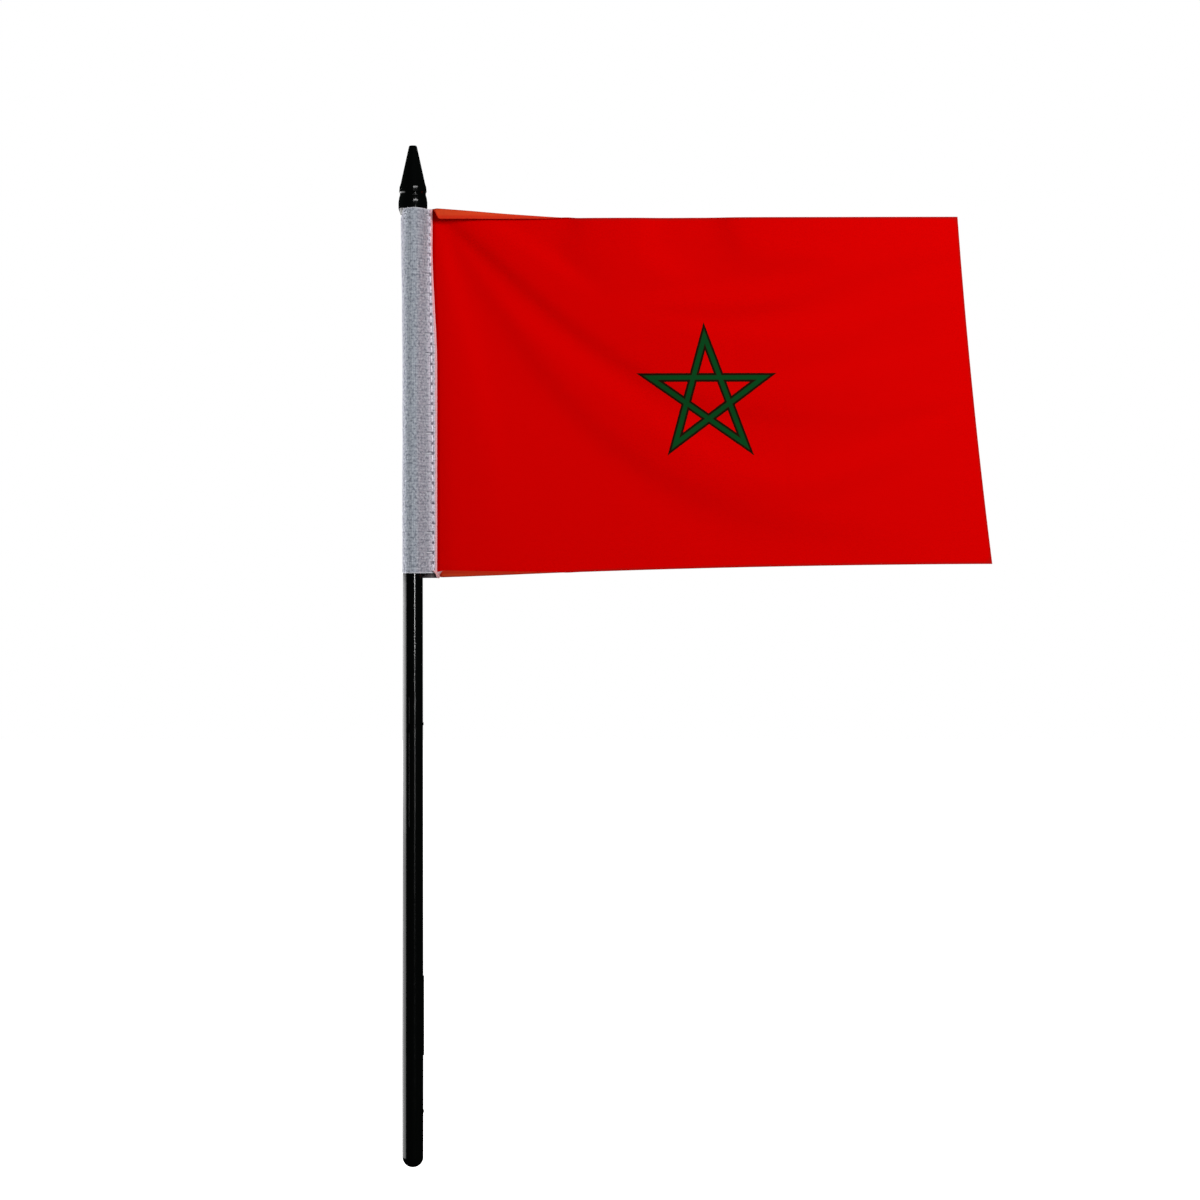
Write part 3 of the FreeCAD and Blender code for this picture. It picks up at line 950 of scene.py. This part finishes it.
def cut_place(s, t):
    """Where a point of the cut sheet lies when it is flat: s from hoist to fly, t from bottom to top."""
    x = SHEET_LEFT + (fly_edge(t) - SHEET_LEFT) * s
    return x, bottom_edge(x) + (top_edge(x) - bottom_edge(x)) * t


def rest_wave(x):
    """How far the cloth stands forwards or back at x before the breeze."""
    along = np.maximum(x - SEWN_TO, 0)
    return 0.85 * (1 - np.exp(-((along / 30.0) ** 2))) * np.sin(2 * math.pi * along / 150.0)


# %% Let the cloth settle
SIM_COLUMNS, SIM_ROWS = 96, 64
SIM_FRAMES = 36
SEAM_DRAW = 0.002                 # share by which the stitches shorten the hoist
DRIFT_LIMIT = (0.08, 0.7, 0.08)   # millimetres that a point may drift along X, Y and Z
BREEZE_SEED = 11


def add_breeze():
    aim = (math.radians(65), 0, math.radians(-50))
    bpy.ops.object.effector_add(type="WIND", location=(-0.1, -0.1, 0.2), rotation=aim)
    wind = bpy.context.object
    wind.field.strength = 0.25
    bpy.ops.object.effector_add(type="TURBULENCE", location=(0.1, 0, 0.2))
    gusts = bpy.context.object
    gusts.field.strength = 0.7
    gusts.field.size = 0.05
    gusts.field.seed = BREEZE_SEED
    return [wind, gusts]


def settled_drift():
    """How far each point of a coarse copy of the sheet drifts, as an array rows x columns x 3."""
    trial = flat_grid("trial_sheet", SIM_COLUMNS, SIM_ROWS)
    s, t = grid_places(trial)
    x, z = cut_place(s, t)
    middle = (top_edge(SEWN_TO) + bottom_edge(SEWN_TO)) / 2
    held = 1 - rise(x, SEWN_TO, SEWN_TO + 8.0)
    drawn_z = middle + (z - middle) * (1 - SEAM_DRAW * held)
    ripple = 0.02 * np.sin(z * 1.9) * (1 - held)
    start = np.stack([x, rest_wave(x) + ripple, drawn_z], axis=1) * MM
    cut = np.stack([x, rest_wave(x), z], axis=1) * MM
    trial.data.vertices.foreach_set("co", start.ravel())
    trial.shape_key_add(name="start")
    cut_key = trial.shape_key_add(name="cut")
    cut_key.data.foreach_set("co", cut.ravel())
    group = trial.vertex_groups.new(name="held")
    hold = np.where(x < SEWN_TO, 1.0, 0.03 + 0.10 * rise(x, 100.0, 158.0))
    for i, weight in enumerate(hold):
        group.add([i], float(weight), "REPLACE")
    simulation = trial.modifiers.new("Cloth", "CLOTH")
    made_of = simulation.settings
    made_of.quality = 7
    made_of.mass = 0.08
    made_of.tension_stiffness = made_of.compression_stiffness = 12
    made_of.shear_stiffness = 8
    made_of.bending_stiffness = 1.2
    made_of.air_damping = 2.0
    made_of.vertex_group_mass = "held"
    made_of.pin_stiffness = 0.6
    made_of.rest_shape_key = cut_key
    made_of.effector_weights.gravity = 0.02
    breeze = add_breeze()
    simulation.point_cache.frame_start, simulation.point_cache.frame_end = 1, SIM_FRAMES
    for step in range(1, SIM_FRAMES + 1):
        bpy.context.scene.frame_set(step)
    settled = trial.evaluated_get(bpy.context.evaluated_depsgraph_get()).to_mesh()
    after = np.zeros(len(settled.vertices) * 3)
    settled.vertices.foreach_get("co", after)
    bpy.context.scene.frame_set(1)
    for thing in [trial, *breeze]:
        bpy.data.objects.remove(thing)
    rest = np.stack([x, rest_wave(x), z], axis=1)
    drift = after.reshape(-1, 3) / MM - rest
    order = np.lexsort((s, t))
    print("largest drift in mm:", np.abs(drift).max(0).round(2))
    limit = np.array(DRIFT_LIMIT)
    drift = limit * np.tanh(drift / limit)
    return drift[order].reshape(SIM_ROWS + 1, SIM_COLUMNS + 1, 3)


def drift_at(drift, s, t):
    """The drift at any place of the sheet, read between the points of the trial."""
    column, row = s * SIM_COLUMNS, t * SIM_ROWS
    left = np.minimum(column.astype(int), SIM_COLUMNS - 1)
    low = np.minimum(row.astype(int), SIM_ROWS - 1)
    right_share, up_share = (column - left)[:, None], (row - low)[:, None]
    lower = drift[low, left] * (1 - right_share) + drift[low, left + 1] * right_share
    upper = drift[low + 1, left] * (1 - right_share) + drift[low + 1, left + 1] * right_share
    return lower * (1 - up_share) + upper * up_share


drift = settled_drift()

# %% The rolled edges
ROLL_TURN = math.radians(150)
ROLL_START_TOP, ROLL_START_BOTTOM = 5.6, 6.9
ROLL_TOP, ROLL_BOTTOM = 4.3, 3.1  # millimetres of cloth that are rolled over beside the seam


def roll_size(x, upper):
    """At x: how much cloth is rolled over, the roll's radius, and how far round it turns."""
    start = np.where(upper, ROLL_START_TOP, ROLL_START_BOTTOM)
    opening = rise(x, start, start + 1.0)
    fading = np.clip((FLARE_END - x) / (FLARE_END - SEWN_TO), 0, 1)
    length = 0.05 + opening * (0.15 + np.where(upper, ROLL_TOP, ROLL_BOTTOM) * fading ** 1.1)
    radius = 0.10 + 0.34 * opening * fading
    return length, radius, 0.02 + opening * ROLL_TURN * (0.2 + 0.8 * rise(fading, 0, 0.2))


def rolled(x, upper, share):
    """Past the edge by this share of the rolled cloth: (forwards, upwards) from the fold."""
    length, radius, turn = roll_size(x, upper)
    gone = share * length
    bent = np.minimum(gone, radius * turn)
    angle = bent / radius
    forwards = radius * (1 - np.cos(angle)) + (gone - bent) * np.sin(angle)
    upwards = radius * np.sin(angle) + (gone - bent) * np.cos(angle)
    return forwards, upwards


# %% Make the cloth
cloth_rows = CLOTH_ROWS + 2 * EDGE_ROWS
cloth = flat_grid("printed_cloth", CLOTH_COLUMNS, cloth_rows)
s, row_share = grid_places(cloth)
s = s * (0.55 + 0.45 * s)         # the columns lie closer together beside the seam
row = row_share * cloth_rows - EDGE_ROWS
t = np.clip(row / CLOTH_ROWS, 0, 1)
x, z = cut_place(s, t)
upper = row > CLOTH_ROWS / 2
past = np.clip(np.where(upper, row - CLOTH_ROWS, -row) / EDGE_ROWS, 0, 1)
outwards = np.where(upper, 1, -1)
flat_z = z + outwards * past * roll_size(x, upper)[0]
forwards, upwards = rolled(x, upper, past)
settled = np.stack([x, rest_wave(x), z], axis=1) + drift_at(drift, s, t)
settled[:, 1] -= forwards
settled[:, 2] += outwards * upwards
cloth.data.vertices.foreach_set("co", (settled * MM).ravel())
print("cloth from y", round(settled[:, 1].min(), 2), "to", round(settled[:, 1].max(), 2), "mm")

# %% Flat map, distance from the cut edges, and thickness
map_u = (x - SHEET_LEFT) / SHEET_WIDTH
map_v = (flat_z - SHEET_BOTTOM) / SHEET_HEIGHT
flat_map = cloth.data.uv_layers["flat"].data
for corner in cloth.data.loops:
    flat_map[corner.index].uv = (map_u[corner.vertex_index], map_v[corner.vertex_index])
to_long_edge = np.where(upper, top_edge(x) - z, z - bottom_edge(x)) + roll_size(x, upper)[0] * (1 - past)
keep_numbers(cloth, "from_edge", np.minimum(fly_edge(t) - x, to_long_edge))
keep_numbers(cloth, "from_tape", x - free_edge_x(z))
cloth.data.materials.append(printed_face)
cloth.data.materials.append(printed_reverse)
use(cloth, "SUBSURF", levels=1, render_levels=1, boundary_smooth="PRESERVE_CORNERS")
use(cloth, "SOLIDIFY", thickness=CLOTH_THICKNESS * MM, offset=0, material_offset=1)
finish_piece(cloth, printed_face, 60)
cloth_area = float((top_edge(x) - bottom_edge(x)).mean() * (fly_edge(t) - SHEET_LEFT).mean())
print("cloth area about", round(cloth_area), "mm2")

# %% Place the cloth
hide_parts("flag_panel", "hoist_margin")
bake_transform(cloth)

# %% [markdown]
# ## Stitches
# One machine seam holds everything: the needle's thread lies on the front and the bobbin's on the
# back, each dipping into the tape at every hole. One stitch is modelled: a flattened ring, extruded in
# short steps and turned a little at each, so that it looks like two plies. The others are copies.

# %% One stitch
THREAD_RADIUS = 0.21
STITCH_STEPS = 12
STITCH_SIDES = 10
TWIST = math.radians(32)


def stitch_path(share):
    """Along a stitch: how far up it is, and how far it stands off the tape."""
    up = share * STITCH_LENGTH
    off = -0.30 + 0.34 * math.sin(math.pi * share) ** 0.45
    return up, off


def make_stitch(name):
    """A stitch that starts at the origin, runs up Z and stands off towards -Y."""
    bpy.ops.object.select_all(action="DESELECT")
    up, off = stitch_path(0)
    bpy.ops.mesh.primitive_circle_add(vertices=STITCH_SIDES, radius=THREAD_RADIUS * MM, fill_type="NGON")
    piece = bpy.context.object
    piece.name = name
    bpy.ops.object.mode_set(mode="EDIT")
    bpy.ops.mesh.select_all(action="SELECT")
    bpy.ops.transform.resize(value=(0.66, 1, 1), center_override=(0, 0, 0))
    bpy.ops.transform.translate(value=(0, -off * MM, up * MM))
    for i in range(1, STITCH_STEPS + 1):
        next_up, next_off = stitch_path(i / STITCH_STEPS)
        move = (0, -(next_off - off) * MM, (next_up - up) * MM)
        bpy.ops.mesh.extrude_region_move(TRANSFORM_OT_translate={"value": move})
        centre = (0, -next_off * MM, next_up * MM)
        bpy.ops.transform.rotate(value=TWIST, orient_axis="Z", center_override=centre)
        up, off = next_up, next_off
    bpy.ops.mesh.select_all(action="SELECT")
    bpy.ops.mesh.normals_make_consistent(inside=False)
    bpy.ops.object.mode_set(mode="OBJECT")
    return piece


# %% The two rows of stitches
THREAD_LIFT = 0.05                # a stitch's own origin stands this far off the tape


def seam_place(i, side):
    """Where stitch i of a row starts: it follows the leaning seam, and strays a little from it."""
    z = seam_low.z / MM + i * STITCH_PITCH
    stray = 0.05 * noise.noise(Vector((i * 1.7, side * 3.0, 0)))
    x = float(seam_x(z + STITCH_LENGTH / 2)) + stray
    y = side * (FLAP_Y + TAPE_THICKNESS / 2 + THREAD_LIFT)
    return np.array([x, y, z]) * MM


def sew(name, side, node):
    """Copies one stitch along the seam, on the front (side -1) or the back (side 1)."""
    pattern = make_stitch(name)
    points = np.zeros(len(pattern.data.vertices) * 3)
    pattern.data.vertices.foreach_get("co", points)
    points = points.reshape(-1, 3) * (1, -side, 1)
    if side > 0:
        pattern.data.flip_normals()
    stitches = [pattern]
    for i in range(1, STITCHES):
        copy = pattern.copy()
        copy.data = pattern.data.copy()
        bpy.context.scene.collection.objects.link(copy)
        stitches.append(copy)
    for i, stitch in enumerate(stitches):
        placed = points + seam_place(i, side)
        stitch.data.vertices.foreach_set("co", placed.ravel())
    choose(*stitches)
    bpy.ops.object.join()
    finish_piece(pattern, white_thread, 80)
    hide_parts(node)
    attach(pattern, "sleeve")


sew("needle_thread", -1, "needle_stitches")
sew("bobbin_thread", 1, "bobbin_stitches")

# %% [markdown]
# ## Frayed corner
# Where the machine stopped, the thread was snipped and its plies have opened, together with a few
# yarns of the tape's lower corner. Each yarn is a smooth curve with a round section, turned into a
# mesh. They leave the last hole together and spread like a small brush.

# %% Frayed yarns
YARN_RADIUS = 0.14
YARNS = 11


def make_frayed():
    finish = Finish("frayed_yarn")
    place = finish.object_place()
    tint = finish.step(finish.grain(place, 900.0, 2.0), 0.42, 0.58)
    fibres = finish.grain(place, 9000.0, 2.0)
    colour = finish.mix(tint, (0.60, 0.38, 0.42, 1), (0.92, 0.46, 0.43, 1))
    colour = finish.mix(fibres * 0.5, colour, (0.35, 0.24, 0.28, 1))
    return finish.surface(colour, 0.6 + 0.25 * fibres, fibres, 0.00003, Specular_IOR_Level=0.2)


def make_yarn(name, turn, reach, forward):
    """One yarn, as a mesh. It fans out from the corner at an angle, and is bent a little forwards."""
    x = float(seam_x(tape_bottom)) + 0.75
    y = -(FLAP_Y + TAPE_THICKNESS / 2 + 0.12)
    z = tape_bottom + 0.65
    right, down = math.cos(turn), math.sin(turn)
    route = [
        (x - 0.75, y + 0.3, z + 0.75),
        (x - 0.5, y, z + 0.3),
        (x + 0.2 * right, y - 0.05, z + 0.1 - 0.2 * down),
        (x + 0.5 * reach * right, y - 0.5 * forward, z - 0.5 * reach * down),
        (x + 0.85 * reach * right, y - forward, z - 0.8 * reach * down),
        (x + reach * right, y - 0.8 * forward, z - 0.85 * reach * down + 0.15),
    ]
    bpy.ops.object.select_all(action="DESELECT")
    bpy.ops.curve.primitive_nurbs_path_add()
    yarn = bpy.context.object
    yarn.name = name
    line = yarn.data.splines[0]
    line.points.add(len(route) - len(line.points))
    for point, place in zip(line.points, route):
        point.co = (*[c * MM for c in place], 1)
    line.order_u = 3
    line.use_endpoint_u = True
    yarn.data.resolution_u = 6
    yarn.data.bevel_depth = YARN_RADIUS * MM
    yarn.data.bevel_resolution = 2
    yarn.data.use_fill_caps = True
    bpy.ops.object.convert(target="MESH")
    return bpy.context.object


def spread(i):
    """The angle, length and bend of one yarn. They differ a little, but always in the same way."""
    luck = noise.noise(Vector((i * 2.3, 0.5, 0)))
    turn = math.radians(-12 + 84 * i / (YARNS - 1))
    reach = 1.95 + 0.5 * luck
    forward = 0.16 + 0.3 * abs(luck) + 0.1 * (i % 3)
    return turn, reach, forward


yarns = [make_yarn(f"yarn_{i}", *spread(i)) for i in range(YARNS)]
choose(*yarns)
bpy.ops.object.join()
frayed_corner = yarns[0]
frayed_corner.name = "frayed_corner"
finish_piece(frayed_corner, make_frayed(), 80)
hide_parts("thread_tail")
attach(frayed_corner, "sleeve")

# %% Clear the selection
bpy.ops.object.select_all(action="DESELECT")
